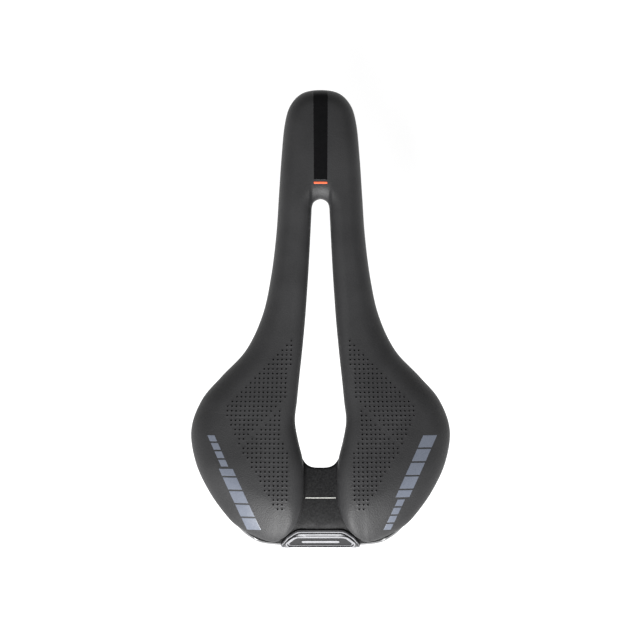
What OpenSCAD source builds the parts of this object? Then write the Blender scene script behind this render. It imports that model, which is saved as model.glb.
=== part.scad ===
// Racing bicycle saddle with a relief opening. A moulded shell carries foam padding under a
// microfibre cover. A one-piece tubular rail is clamped under the nose and runs back to two
// sockets under the wings. +Y is forward, +X is the rider's right and +Z is up. The origin
// is the middle of the rail's clamping length, halfway between its two straights.

/* [Seat] */
// Overall width across the wings
seat_w = 143; // [138:1:150]
// Thickness of the padding and cover over the shell
pad_t = 10.5; // [9.5:0.5:12]
// Thickness of the cover
cover_t = 0.8; // [0.6:0.1:1]
// Wall thickness of the shell
shell_t = 2.6; // [2.2:0.1:3]
// Height of the seat's ridge above the rail's centreline, at the middle
ridge_mid = 46; // [45:0.5:48]
// How much higher the ridge stands at the rear
rear_rise = 6; // [4:0.5:8]
// How far the nose tip dips
nose_dip = 4.5; // [2:0.5:6]

/* [Rail] */
// Diameter of the rail
rail_d = 7; // [7:0.1:7.2]
// Distance between the centrelines of the two straights
rail_gauge = 44; // [43:0.5:45]
// Length of each straight, where the seatpost clamps
rail_straight = 75; // [70:1:78]
// Centreline radius of the bends at both ends of a straight
rail_bend_r = 25; // [20:1:28]

/* [Badge] */
// Width of the badge along its lower edge
badge_w = 44; // [40:1:46]
// Width of the badge along its upper edge
badge_top_w = 32; // [29:1:34]
// Height of the badge, measured down the slope
badge_h = 15.2; // [14.4:0.2:15.6]

/* [Hidden] */

$fn = 64;
gap = 0.1;              // clearance between layers that lie on each other
steps = 2;              // stations made from each rib

// ---- plan of the seat --------------------------------------------------------------

// One rib a row for the right half, from the nose to the end of the wing: x and y on the
// cover's inner edge, then x and y on its outer edge. Rib 13 ends at the relief opening's
// rear corner, and the later ones run beside and behind the bare bridge of the shell.
RIBS = [
    [0, 82, 0, 142], [3.4, 80.6, 10, 140.2], [4.7, 77.9, 16.6, 133.5], [5, 73.8, 19.7, 123],
    [5.4, 66, 21.4, 106], [5.9, 56, 22.9, 84], [6.6, 43, 24.4, 62], [7.5, 29, 27.3, 39],
    [8.6, 14, 32, 18], [10.1, -2, 41, -1], [11.6, -16, 54.5, -15.5], [12.9, -29, 65.5, -28.5],
    [14, -40, 71.4, -45], [12.2, -51, 68.8, -63], [9.7, -61.5, 61, -79.5],
    [9, -74, 51.2, -92.9], [10, -86.6, 44.8, -98.7], [13.2, -96, 37.6, -102.7],
    [17.6, -101.8, 31.4, -105.4], [22, -104.9, 27.6, -106.3]];
// The shell's own ribs behind the wings' widest part, ending at the middle of the tail.
SHELL_REAR = [
    [10.6, -58.8, 59.6, -78.5], [9.4, -61.3, 49.8, -92.4], [7.9, -63.3, 43.9, -100.1],
    [6, -64.6, 37.4, -105.1], [4, -65.2, 29.8, -108.2], [2, -65.4, 15, -110.5],
    [0, -65.4, 0, -110.8]];
shared_ribs = 14;       // how many of RIBS the shell follows
skirted_ribs = 16.4;    // the cover's outer edge reaches below the shell up to here
width_scale = seat_w / 143;

function clamp01(t) = min(1, max(0, t));
function ease(t) = let (c = clamp01(t)) c * c * (3 - 2 * c);
function mix(a, b, t) = a + (b - a) * t;
function unit(v) = v / norm(v);
function xy(v) = [v.x, v.y];
function flip(v) = len(v) == 3 ? [-v.x, v.y, v.z] : [-v.x, v.y];
function reversed(list) = [for (i = [len(list) - 1:-1:0]) list[i]];

// A curve through p1 and p2 that heads along the line from p0 to p3.
function curve(p0, p1, p2, p3, f) =
    0.5 * (2 * p1 + (p2 - p0) * f + (2 * p0 - 5 * p1 + 4 * p2 - p3) * f * f
    + (3 * p1 - p0 - 3 * p2 + p3) * f * f * f);
// Points on a smooth line that starts square to the centre plane.
function smooth_line(points, end) =
    let (all = concat([flip(points[1])], points, [end]), n = len(points) - 1)
    concat([for (i = [0:n - 1], k = [0:steps - 1])
            curve(all[i], all[i + 1], all[i + 2], all[i + 3], k / steps)], [points[n]]);

function inner_points(ribs) = [for (r = ribs) [r[0], r[1]]];
function outer_points(ribs) = [for (r = ribs) [r[2] * width_scale, r[3]]];
function tangent(line, i) =
    i == 0 ? [1, 0] : unit(line[min(i + 1, len(line) - 1)] - line[i - 1]);
// Level directions from an edge into the seat.
function in_from_outer(line, i) = let (t = tangent(line, i)) [t.y, -t.x];
function in_from_inner(line, i) = let (t = tangent(line, i)) [-t.y, t.x];

COVER_IN = smooth_line(inner_points(RIBS), [26, -106.2]);
COVER_OUT = smooth_line(outer_points(RIBS), [25.4, -106.6]);
last = len(COVER_IN) - 1;

// ---- heights -----------------------------------------------------------------------

drop_y = -58;           // where the wings start to fall to the rear
drop_rate = 0.0026;
function ridge_z(y) =
    ridge_mid + rear_rise * ease((20 - y) / 120) - nose_dip * pow(clamp01((y - 100) / 42), 2)
    - drop_rate * pow(max(0, drop_y - y), 2);
nose_crown = 1 / 75;    // curvature across the nose
wing_crown = 1 / 210;   // curvature across the wings
function crown_z(p) = p.x * p.x / 2 * mix(nose_crown, wing_crown, ease((90 - p.y) / 120));
function base_z(p) = ridge_z(p.y) - crown_z(p);

// The shell's tail turns down behind the bridge, where the badge lies on it.
tail_y = -99;
tail_slope = 50;
tail_bend = 2;
function past_tail(y) = let (d = tail_y - y) (d + sqrt(d * d + tail_bend * tail_bend)) / 2;
function tail_z(p) =
    tan(tail_slope) * (past_tail(p.y) - past_tail(-80)) * (1 - ease((abs(p.x) - 21) / 16));
function shell_top(p) = base_z(p) - pad_t - max(0, tail_z(p));
function shell_under(p) = shell_top(p) - shell_t;

// How the edges roll down: width and depth of the roll, by place.
function to_nose(y) = ease((y + 10) / 60);
function to_tail(y) = ease((-60 - y) / 38);
function roll_width(y) = mix(mix(12, 8, to_nose(y)), 34, to_tail(y));
function roll_depth(y) = mix(mix(8, 7, to_nose(y)), 9, to_tail(y));
function inner_width(y) = mix(7.5, 12, ease((-62 - y) / 30));
inner_roll_depth = 6;
function roll(d, r) = d >= r ? 0 : 1 - sqrt(1 - pow(1 - d / r, 2));
function seg_dist(p, a, b) =
    let (ab = b - a, t = clamp01((p - a) * ab / (ab * ab))) norm(p - a - t * ab);
function line_dist(p, line, i) =
    min([for (j = [max(0, i - 8):min(len(line) - 2, i + 8)]) seg_dist(p, line[j], line[j + 1])]);
function seat_z(p, i) =
    let (a = roll_depth(p.y) * roll(line_dist(p, COVER_OUT, i), roll_width(p.y)),
         b = inner_roll_depth * roll(line_dist(p, COVER_IN, i), inner_width(p.y)))
    base_z(p) - pow(pow(a, 3) + pow(b, 3), 1 / 3);

// The skirt of the shell and how far the cover tucks in below the edge.
function flange(y) = mix(mix(3, 9, ease((y - 10) / 90)), 1, ease((-80 - y) / 20));
function tuck(y) = mix(1, 2.5, ease((y - 10) / 90));
function skirt_z(p) = shell_under(p) - flange(p.y);

// ---- solids from rings -------------------------------------------------------------

module rings_solid(rings, closed = false) {
    n = len(rings);
    m = len(rings[0]);
    walls = [for (i = [0:n - (closed ? 1 : 2)], k = [0:m - 1])
             let (j = (i + 1) % n, l = (k + 1) % m)
             each [[i * m + k, j * m + k, j * m + l], [i * m + k, j * m + l, i * m + l]]];
    caps = closed ? [] : [[for (k = [0:m - 1]) k], [for (k = [m - 1:-1:0]) (n - 1) * m + k]];
    polyhedron(points = [for (ring = rings) each ring], faces = concat(walls, caps));
}
// The right half's rings, then the left half's, sharing the ring on the centre plane.
function both_halves(rings) =
    concat(reversed(rings), [for (i = [1:len(rings) - 1]) [for (p = rings[i]) flip(p)]]);

ACROSS = [0, 0.03, 0.08, 0.15, 0.25, 0.4, 0.55, 0.69, 0.8, 0.88, 0.94, 0.98, 1];
UNDER = [0, 0.12, 0.3, 0.5, 0.7, 0.88, 1];

// A point of the seat's surface, moved inwards by depth along the surface's normal.
function skin(i, t, depth) =
    t == 0 ? let (a = COVER_IN[i], q = a + depth * in_from_inner(COVER_IN, i))
             [q.x, q.y, seat_z(a, i)] :
    t == 1 ? let (a = COVER_OUT[i], q = a + depth * in_from_outer(COVER_OUT, i))
             [q.x, q.y, seat_z(a, i)] :
    let (p = mix(COVER_IN[i], COVER_OUT[i], t), e = 0.1, z = seat_z(p, i),
         nx = i == 0 ? 0 : (seat_z(p - [e, 0], i) - seat_z(p + [e, 0], i)) / (2 * e),
         ny = (seat_z(p - [0, e], i) - seat_z(p + [0, e], i)) / (2 * e))
    [p.x, p.y, z] - depth * unit([nx, ny, 1]);

// The cover's edge ends under the shell's rim, or on top of the shell beside the bridge.
function inner_low(i) =
    let (p = COVER_IN[i]) i / steps < shared_ribs - 0.2 ? shell_under(p) : shell_top(p) + gap;
function outer_low(i) =
    let (p = COVER_OUT[i]) i / steps < skirted_ribs ? skirt_z(p) : shell_top(p) + gap;
function outer_foot(i, depth) =
    let (low = outer_low(i), in = i / steps < skirted_ribs ? tuck(COVER_OUT[i].y) : 0.2,
         q = COVER_OUT[i] + (depth + in) * in_from_outer(COVER_OUT, i))
    [q.x, q.y, low];
function inner_foot(i, depth) =
    let (q = COVER_IN[i] + depth * in_from_inner(COVER_IN, i)) [q.x, q.y, inner_low(i)];

function cover_ring(i) =
    concat([inner_foot(i, 0)], [for (t = ACROSS) skin(i, t, 0)], [outer_foot(i, 0)],
           [outer_foot(i, cover_t)], [for (t = reversed(ACROSS)) skin(i, t, cover_t)],
           [inner_foot(i, cover_t)]);

function padding_ring(i) =
    let (in = cover_t + gap, a = skin(i, 0, in), b = skin(i, 1, in))
    concat([for (t = ACROSS) skin(i, t, in)],
           [for (t = reversed(UNDER)) let (p = mix(xy(a), xy(b), t)) [p.x, p.y, shell_top(p) + gap]]);

// ---- shell -------------------------------------------------------------------------

function shell_row(i) =
    let (inner = inner_points(RIBS), outer = outer_points(RIBS), in = cover_t + gap,
         a = inner[i] + in * in_from_inner(inner, i),
         b = outer[i] + (in + tuck(outer[i].y)) * in_from_outer(outer, i))
    [a.x, a.y, b.x / width_scale, b.y];
SHELL_RIBS = concat([for (i = [0:shared_ribs - 1]) shell_row(i)], SHELL_REAR);
SHELL_IN = smooth_line(inner_points(SHELL_RIBS), [-2, -65.4]);
SHELL_OUT = smooth_line(outer_points(SHELL_RIBS), [-15, -110.5]);

function shell_ring(i) =
    let (a = SHELL_IN[i], b = SHELL_OUT[i], end = i == len(SHELL_IN) - 1,
         in = i == 0 ? [0, -1] : end ? [0, 1] : in_from_outer(SHELL_OUT, i),
         c = b + shell_t * in, low = skirt_z(b))
    concat([for (t = UNDER) let (p = mix(a, b, t)) [p.x, p.y, shell_top(p)]],
           [[b.x, b.y, low], [c.x, c.y, low]],
           [for (t = reversed(UNDER)) let (p = mix(a, c, t)) [p.x, p.y, shell_under(p)]]);
function shell_rings() =
    let (right = [for (i = [0:len(SHELL_IN) - 1]) shell_ring(i)], n = len(right) - 1)
    concat(reversed(right), [for (i = [1:n - 1]) [for (p = right[i]) flip(p)]]);

// Puts its children square to the underside of the shell at x, y, a distance below it.
module under_shell(x, y, below = 0) {
    e = 2;
    slope_x = (shell_under([x + e, y]) - shell_under([x - e, y])) / (2 * e);
    slope_y = (shell_under([x, y + e]) - shell_under([x, y - e])) / (2 * e);
    translate([x, y, shell_under([x, y])])
        rotate([atan(slope_y), -atan(slope_x), 0])
            translate([0, 0, -below]) children();
}

// ---- rail --------------------------------------------------------------------------

rail_r = rail_d / 2;
half_gauge = rail_gauge / 2;
nose_loop_r = 9.5;      // centreline radius of the loop under the nose
nose_loop_y = 112;
nose_loop_z = 24.5;
nose_knee_r = 20;       // bend radius where the rail levels out towards the nose
rear_end = [33, -94, 23.3];

function angle_between(a, b) = acos(unit(a) * unit(b));
function bend_length(a, b, r) = r * tan(angle_between(a, b) / 2);
nose_knee = [nose_loop_r, 103, nose_loop_z];
straight_front = [half_gauge, rail_straight / 2, 0];
straight_rear = [half_gauge, -rail_straight / 2, 0];
// The corner of a bend lies past the end of the straight, by an amount found in two passes.
function corner_past(end, target, side) =
    let (first = bend_length([0, side, 0], target - end, rail_bend_r),
         guess = end + [0, side * first, 0],
         second = bend_length([0, side, 0], target - guess, rail_bend_r))
    end + [0, side * second, 0];
front_corner = corner_past(straight_front, nose_knee, 1);
rear_corner = corner_past(straight_rear, rear_end, -1);
rear_way = unit(rear_end - rear_corner);

// Puts the z axis along the line from a to b, with the origin at a.
module along(a, b) {
    d = unit(b - a);
    translate(a) rotate([0, acos(d.z), atan2(d.y, d.x)]) children();
}
module rod(a, b, r) {
    along(a, b) cylinder(r = r, h = norm(b - a));
}
// A bend round a corner. Its ends run a little way into the rods that it joins, and it is a
// hair thinner, so that no two round surfaces coincide.
bend_slip = 0.3;
bend_thin = 0.02;
module bend(before, corner, after, bend_r, r) {
    way = unit(corner - before);
    out = unit(after - corner);
    turn = angle_between(way, out);
    side = unit(out - (out * way) * way);
    axis = cross(way, side);
    c = corner - way * bend_r * tan(turn / 2) + side * bend_r;
    slip = bend_slip / bend_r * 180 / PI;
    multmatrix([[-side.x, way.x, axis.x, c.x],
                [-side.y, way.y, axis.y, c.y],
                [-side.z, way.z, axis.z, c.z]])
        rotate([0, 0, -slip]) rotate_extrude(angle = turn + 2 * slip)
            translate([bend_r, 0]) circle(r - bend_thin);
}
module rail_side(r) {
    knee_cut = bend_length(front_corner - nose_knee, [0, -1, 0], nose_knee_r);
    front_cut = front_corner.y - straight_front.y;
    rear_cut = straight_rear.y - rear_corner.y;
    slant = unit(front_corner - nose_knee);
    rod([nose_loop_r, nose_loop_y, nose_loop_z], nose_knee + [0, knee_cut, 0], r);
    bend(nose_knee + [0, 9, 0], nose_knee, front_corner, nose_knee_r, r);
    rod(nose_knee + slant * knee_cut, front_corner - slant * front_cut, r);
    bend(nose_knee, front_corner, straight_rear, rail_bend_r, r);
    rod(straight_front, straight_rear, r);
    bend(straight_front, rear_corner, rear_end, rail_bend_r, r);
    rod(rear_corner + rear_way * rear_cut, rear_end, r);
}
module rail_shape(r) {
    slip = bend_slip / nose_loop_r * 180 / PI;
    rail_side(r);
    mirror([1, 0, 0]) rail_side(r);
    translate([0, nose_loop_y, nose_loop_z]) rotate([0, 0, -slip])
        rotate_extrude(angle = 180 + 2 * slip) translate([nose_loop_r, 0]) circle(r - bend_thin);
}

// ---- rear sockets ------------------------------------------------------------------

boss_h = 4;             // height of the shell's bosses below its underside
boss_r = 5.5;
socket_x = 33;
socket_y = -84;
screw_reach = 12;       // from a socket's middle to each of its screws
flange_t = 3;
bush_wall = 1.2;
bush_l = 16;
insert_r = 2.9;
insert_l = 5.5;
m4_r = 2;
m5_r = 2.5;

// Calls its children at the two screws of the right socket.
module at_socket_screws() {
    under_shell(socket_x, socket_y) for (s = [-1, 1]) translate([s * screw_reach, 0, 0]) children();
}
module mirrored(side) {
    mirror([side < 0 ? 1 : 0, 0, 0]) children();
}
socket_r = 7;           // barrel that holds the rail's end in its bush
socket_deep = 20;       // how much of the rail lies in the barrel
socket_wall = 3;        // end wall of the barrel
ear_r = 6.5;            // rounded ends of the flange
web_r = 6;              // web between barrel and flange
web_size = [12, 20];
screw_room = 4;         // radius of the clearance round a screw's head
hole_play = 0.2;        // clearance round a screw
socket_start = rear_end - rear_way * socket_deep;
socket_end = rear_end + rear_way * socket_wall;
module rear_socket() {
    difference() {
        union() {
            rod(socket_start, socket_end, socket_r);
            under_shell(socket_x, socket_y, boss_h + flange_t) linear_extrude(flange_t)
                hull() for (s = [-1, 1]) translate([s * screw_reach, 0]) circle(ear_r);
            hull() {
                along(socket_start, socket_end)
                    translate([0, 0, socket_wall]) cylinder(r = web_r, h = socket_deep - 3, $fn = 32);
                under_shell(socket_x, socket_y, boss_h + flange_t)
                    translate([-web_size.x / 2, -web_size.y / 2, 0])
                        cube([web_size.x, web_size.y, flange_t]);
            }
        }
        along(socket_start, rear_end) translate([0, 0, -1])
            cylinder(r = rail_r + bush_wall + gap, h = socket_deep + 1.2);
        at_socket_screws() translate([0, 0, -20]) cylinder(r = m4_r + hole_play, h = 30);
        at_socket_screws() translate([0, 0, -boss_h - flange_t - 10])
            cylinder(r = screw_room, h = 10);
    }
}
module screw(r, length, head_r, head_h, key) {
    difference() {
        union() {
            cylinder(r = r, h = length);
            translate([0, 0, -head_h]) cylinder(r = head_r, h = head_h);
        }
        translate([0, 0, -head_h]) cylinder(r = key, h = head_h * 0.6, $fn = 6);
    }
}

// ---- badge -------------------------------------------------------------------------

badge_clear = 0.8;      // keeps the flat badge clear of the bend above the slope
// Puts its children on the sloping tail: x along the saddle's width, y up the slope.
module on_tail(lift = 0) {
    top = [0, tail_y - badge_clear];
    translate([0, top.y, shell_top(top) + badge_clear])
        rotate([tail_slope, 0, 0]) translate([0, -badge_h, lift]) children();
}
corner_r = 1.2;         // the badge's lower corners
waist_r = 5;            // and its bowed sides
waist_in = 2.8;
waist_v = 6.2;
shoulder_r = 5.5;       // and its upper corners
module badge_outline(inset) {
    low = badge_w / 2 - inset - corner_r;
    waist = badge_w / 2 - inset - waist_r - waist_in;
    high = badge_top_w / 2 - inset * 0.6 - shoulder_r;
    hull() for (s = [-1, 1]) {
        translate([s * low, inset + corner_r]) circle(corner_r, $fn = 24);
        translate([s * waist, waist_v]) circle(waist_r - inset * 0.2, $fn = 48);
        translate([s * high, badge_h - inset - shoulder_r]) circle(shoulder_r, $fn = 48);
    }
}
carrier_t = 1.6;
bezel_t = 1.3;
panel_t = 0.7;
bezel_inset = 1.2;
panel_w = 36.4;         // along its lower edge
panel_top_w = 32;
panel_low = 2.6;        // height of its lower edge above the badge's
panel_h = 8.8;
module panel_outline(grow) {
    low_r = 2.4;
    high_r = 4.2;
    hull() for (s = [-1, 1]) {
        translate([s * (panel_w / 2 - low_r), panel_low + low_r]) circle(low_r + grow, $fn = 24);
        translate([s * (panel_top_w / 2 - high_r), panel_low + panel_h - high_r])
            circle(high_r + grow, $fn = 48);
    }
}

// ---- prints and strips -------------------------------------------------------------

// The station whose rib passes nearest to a point of the right half.
function near_station(p) =
    let (d = [for (i = [0:last]) seg_dist(p, COVER_IN[i], COVER_OUT[i])], low = min(d))
    [for (i = [0:last]) if (d[i] == low) i][0];
function seat_at(x, y) = let (p = [abs(x), y]) seat_z(p, near_station(p));
// A thin solid over rows of plan points, from lift above the seat or shell to lift + t.
module film(rows, lift, t, on_seat = true) {
    rings_solid([for (row = rows)
        let (low = [for (p = row) [p.x, p.y, lift + (on_seat ? seat_at(p.x, p.y) : shell_top(p))]])
        concat([for (p = low) p + [0, 0, t]], reversed(low))]);
}
film_t = 0.3;
film_lift = 0.02;       // the narrow gap under a film
line_y = -82;
line_half = 8;
line_lift = 0.17;       // the line is flat, so it clears the crown of the bridge
strip_y = [92.6, 140.6];
strip_half = [3.65, 3.95];
dash_y = [89.9, 90.4, 90.9];
dash_half = 3.6;
// A straight bar from a to b on the right wing, with ends square to the centre plane.
module bar(a, b, width) {
    n = 3;
    side = width / 2 / abs(unit(b - a).y);
    film([for (i = [0:n]) let (p = mix(a, b, i / n)) [for (k = [-1, 0, 1]) p + [k * side, 0]]],
         film_lift, film_t);
}
// The wing's print is a row of plain bars along this line.
print_low = [36.5, -99.5];
print_high = [58.5, -51];
// Each bar's start and end along the line, and its width.
BARS = [[0, 7.2, 7], [8.2, 15.4, 7], [16.4, 23.6, 7], [24.6, 31.8, 7], [32.8, 37, 7],
        [38.4, 42.4, 3.6], [43.4, 47.4, 3.6], [48.4, 52.4, 3.6], [53.4, 57, 3.6]];
bars_end = 57;
// With back, the bars run from the front instead.
module wing_print(back) {
    way = unit(print_high - print_low);
    for (b = BARS) {
        start = back ? bars_end - b[1] : b[0];
        end = back ? bars_end - b[0] : b[1];
        bar(print_low + way * start, print_low + way * end, b[2]);
    }
}

// ---- the pieces --------------------------------------------------------------------

module cover() {
    color("#3a3a3c") rings_solid(both_halves([for (i = [0:last]) cover_ring(i)]));
}
module padding() {
    color("#8c8878") rings_solid(both_halves([for (i = [0:last]) padding_ring(i)]));
}
module shell() {
    color("#202022") difference() {
        union() {
            rings_solid(shell_rings(), closed = true);
            for (s = [-1, 1]) mirrored(s) at_socket_screws()
                translate([0, 0, -boss_h]) cylinder(r = boss_r, h = boss_h + 1);
            under_shell(0, nose_loop_y) translate([0, 0, -nose_boss_h])
                cylinder(r = boss_r, h = nose_boss_h + 1);
        }
        for (s = [-1, 1]) mirrored(s) at_socket_screws()
            translate([0, 0, -boss_h - 1]) cylinder(r = insert_r, h = insert_l + 1.2);
        under_shell(0, nose_loop_y) translate([0, 0, -nose_boss_h - 1])
            cylinder(r = nose_insert_r, h = nose_insert_l + 1.2);
    }
}
nose_boss_h = 7;
nose_insert_r = 3.6;
nose_insert_l = 7;
module nose_strip() {
    n = 16;
    color("#0c0c0e") film([for (i = [0:n]) let (y = mix(strip_y[0], strip_y[1], i / n),
        half = mix(strip_half[0], strip_half[1], i / n) * (i == n ? 0.85 : 1))
        [for (k = [-1:0.5:1]) [k * half, y]]], film_lift, film_t + 0.1);
}
module accent_dash() {
    color("#ff6a40") film([for (y = dash_y) [for (k = [-1:0.5:1]) [k * dash_half, y]]],
        film_lift, film_t);
}
module wing_print_left() {
    color("#8790a0") mirror([1, 0, 0]) wing_print(false);
}
module wing_print_right() {
    color("#8790a0") wing_print(true);
}
module bridge_line() {
    color("#9a9a96") film([for (s = [-1, 1]) [for (k = [-1, 1]) [k * line_half, line_y + s * 0.4]]],
        line_lift, film_t, on_seat = false);
}
module rail() {
    color("#a9acb0") rail_shape(rail_r);
}
module rail_bush(side) {
    color("#2b2b2b") mirrored(side) along(rear_end - rear_way * bush_l, rear_end) difference() {
        cylinder(r = rail_r + bush_wall, h = bush_l);
        translate([0, 0, -1]) cylinder(r = rail_r + 0.02, h = bush_l + 2);
    }
}
module rail_bush_left() {
    rail_bush(-1);
}
module rail_bush_right() {
    rail_bush(1);
}
module rear_socket_left() {
    color("#1a1a1a") mirrored(-1) rear_socket();
}
module rear_socket_right() {
    color("#1a1a1a") rear_socket();
}
module socket_screws() {
    color("#c0c0c4") for (s = [-1, 1]) mirrored(s) at_socket_screws()
        translate([0, 0, -boss_h - flange_t]) screw(m4_r, 8, 3.6, 2.4, 1.5);
}
module socket_inserts() {
    color("#b9964a") for (s = [-1, 1]) mirrored(s) at_socket_screws()
        translate([0, 0, -boss_h]) difference() {
            cylinder(r = insert_r - 0.05, h = insert_l);
            translate([0, 0, -1]) cylinder(r = m4_r + 0.05, h = insert_l + 2);
        }
}
// Everything that holds the nose loop is centred on the loop and square to the shell.
clip_half = 15;
clip_y = [100, 126.5];
module clip_outline() {
    hull() for (s = [-1, 1]) {
        translate([s * (clip_half - 3), clip_y[0] + 3]) circle(3, $fn = 32);
        translate([s * 5, clip_y[1] - 9]) circle(9, $fn = 48);
    }
}
// The channel that the rail's loop lies in: a half ring and two straight runs.
module loop_channel() {
    r = rail_r + 0.05;
    translate([0, nose_loop_y, nose_loop_z]) {
        rotate([0, 0, -1]) rotate_extrude(angle = 182) translate([nose_loop_r, 0]) circle(r - bend_thin);
        for (s = [-1, 1]) translate([s * nose_loop_r, 0, 0]) rotate([90, 0, 0]) cylinder(r = r, h = 30);
    }
}
module nose_cradle() {
    low = nose_loop_z + gap;
    top = shell_under([clip_half, clip_y[1]]) - 1.2;
    color("#2b2b2b") difference() {
        translate([0, 0, low]) linear_extrude(top - low) clip_outline();
        loop_channel();
        translate([0, nose_loop_y, 0]) cylinder(r = boss_r + 0.3, h = 60);
    }
}
module nose_clip() {
    color("#1a1a1a") difference() {
        translate([0, 0, nose_loop_z - 6.5]) linear_extrude(6.4) clip_outline();
        loop_channel();
        translate([0, nose_loop_y, 0]) cylinder(r = m5_r + 0.2, h = 60);
    }
}
module nose_washer() {
    color("#c0c0c4") translate([0, nose_loop_y, nose_loop_z - 7.5]) difference() {
        cylinder(r = 5, h = 1);
        translate([0, 0, -1]) cylinder(r = m5_r + 0.15, h = 3);
    }
}
module nose_screw() {
    color("#c0c0c4") translate([0, nose_loop_y, nose_loop_z - 7.5]) screw(m5_r, 12, 4.4, 2.8, 2.5);
}
module nose_insert() {
    color("#b9964a") under_shell(0, nose_loop_y, nose_boss_h) difference() {
        cylinder(r = nose_insert_r - 0.05, h = nose_insert_l);
        translate([0, 0, -1]) cylinder(r = m5_r + 0.05, h = nose_insert_l + 2);
    }
}
module badge_carrier() {
    color("#2c2c30") on_tail() linear_extrude(carrier_t) badge_outline(0);
}
module badge_bezel() {
    color("#b8bac2") on_tail(carrier_t) linear_extrude(bezel_t) difference() {
        badge_outline(bezel_inset);
        panel_outline(0.3);
    }
}
module badge_panel() {
    color("#3c3e44") on_tail(carrier_t) linear_extrude(panel_t) panel_outline(0.2);
}

cover();
padding();
shell();
nose_strip();
accent_dash();
wing_print_left();
wing_print_right();
bridge_line();
rail();
rail_bush_left();
rail_bush_right();
rear_socket_left();
rear_socket_right();
socket_screws();
socket_inserts();
nose_cradle();
nose_clip();
nose_washer();
nose_screw();
nose_insert();
badge_carrier();
badge_bezel();
badge_panel();
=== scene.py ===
"""Looks for a racing bicycle saddle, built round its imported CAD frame.

Lengths in the tables below are millimetres, as in the part's own design, and become metres when a
mesh is made. +Y is forward, +X is the rider's right, +Z is up.
"""

import math

import bmesh
import bpy
import numpy as np
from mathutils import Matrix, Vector
from mathutils.geometry import convex_hull_2d, delaunay_2d_cdt


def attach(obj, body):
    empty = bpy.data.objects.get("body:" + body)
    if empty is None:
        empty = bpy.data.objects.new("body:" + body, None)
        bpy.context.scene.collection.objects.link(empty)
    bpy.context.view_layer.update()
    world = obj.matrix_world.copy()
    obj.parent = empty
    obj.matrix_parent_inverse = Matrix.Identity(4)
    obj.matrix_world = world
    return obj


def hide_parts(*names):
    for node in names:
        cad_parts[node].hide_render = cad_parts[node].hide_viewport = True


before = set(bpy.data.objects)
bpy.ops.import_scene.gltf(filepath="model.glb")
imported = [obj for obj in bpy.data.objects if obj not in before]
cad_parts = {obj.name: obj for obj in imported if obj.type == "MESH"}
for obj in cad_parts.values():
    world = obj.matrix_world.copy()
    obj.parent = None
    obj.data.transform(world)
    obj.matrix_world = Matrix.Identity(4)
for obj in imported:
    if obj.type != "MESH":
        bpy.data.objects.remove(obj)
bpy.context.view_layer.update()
MM = 0.001

# ---- the seat's design, as in the CAD ----

# Thickness of padding and cover, of the cover, of the shell, and the gap between layers.
PAD_T, COVER_T, SHELL_T, GAP = 10.5, 0.8, 2.6, 0.1
# Height of the ridge above the rail, its rise to the rear and its dip at the nose.
RIDGE_MID, REAR_RISE, NOSE_DIP = 46.0, 6.0, 4.5
RISE_FROM, RISE_LENGTH, DIP_FROM, DIP_LENGTH = 20.0, 120.0, 100.0, 42.0
NOSE_CROWN, WING_CROWN = 1 / 75, 1 / 210        # curvature across the nose and the wings
CROWN_FROM, CROWN_LENGTH = 90.0, 120.0
# Ribs of the right half: x and y on the inner edge, x and y on the outer edge.
RIBS = np.array([
    [0, 82, 0, 142], [3.4, 80.6, 10, 140.2], [4.7, 77.9, 16.6, 133.5], [5, 73.8, 19.7, 123],
    [5.4, 66, 21.4, 106], [5.9, 56, 22.9, 84], [6.6, 43, 24.4, 62], [7.5, 29, 27.3, 39],
    [8.6, 14, 32, 18], [10.1, -2, 41, -1], [11.6, -16, 54.5, -15.5], [12.9, -29, 65.5, -28.5],
    [14, -40, 71.4, -45], [12.2, -51, 68.8, -63], [9.7, -61.5, 61, -79.5],
    [9, -74, 51.2, -92.9], [10, -86.6, 44.8, -98.7], [13.2, -96, 37.6, -102.7],
    [17.6, -101.8, 31.4, -105.4], [22, -104.9, 27.6, -106.3]], dtype=float)
# The shell's own ribs behind the wings' widest part.
SHELL_REAR = np.array([
    [10.6, -58.8, 59.6, -78.5], [9.4, -61.3, 49.8, -92.4], [7.9, -63.3, 43.9, -100.1],
    [6, -64.6, 37.4, -105.1], [4, -65.2, 29.8, -108.2], [2, -65.4, 15, -110.5],
    [0, -65.4, 0, -110.8]], dtype=float)
# Points past the ends of the cover's and the shell's edges, which their smooth lines head for.
IN_GUIDE, OUT_GUIDE = [26, -106.2], [25.4, -106.6]
SHELL_IN_GUIDE, SHELL_OUT_GUIDE = [-2, -65.4], [-15, -110.5]
SHARED_RIBS = 14            # how many of RIBS the shell follows
SKIRTED_RIBS = 16.4         # the cover's outer edge reaches below the shell up to here
TAIL_Y, TAIL_SLOPE, TAIL_BEND = -99.0, math.radians(50), 2.0
TAIL_FROM, TAIL_HALF, TAIL_FADE = -80.0, 21.0, 16.0     # the slope fades out beside the badge
DROP_Y, DROP_RATE = -58.0, 0.0026       # where the wings start to fall to the rear, and how fast
STEPS = 10                  # stations made from each rib


def clamp01(t):
    return np.clip(t, 0.0, 1.0)


def ease(t):
    t = clamp01(t)
    return t * t * (3 - 2 * t)


def mix(a, b, t):
    return a + (b - a) * t


def unit(v):
    return v / np.maximum(np.linalg.norm(v, axis=-1, keepdims=True), 1e-12)


def smooth_line(points, end):
    """The CAD's smooth curve through points, starting square to the centre plane."""
    all_points = np.vstack([[-points[1][0], points[1][1]], points, end])
    out = []
    for i in range(len(points) - 1):
        p0, p1, p2, p3 = all_points[i:i + 4]
        for f in np.arange(STEPS) / STEPS:
            out.append(0.5 * (2 * p1 + (p2 - p0) * f + (2 * p0 - 5 * p1 + 4 * p2 - p3) * f * f
                              + (3 * p1 - p0 - 3 * p2 + p3) * f ** 3))
    return np.array(out + [points[-1]])


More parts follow.
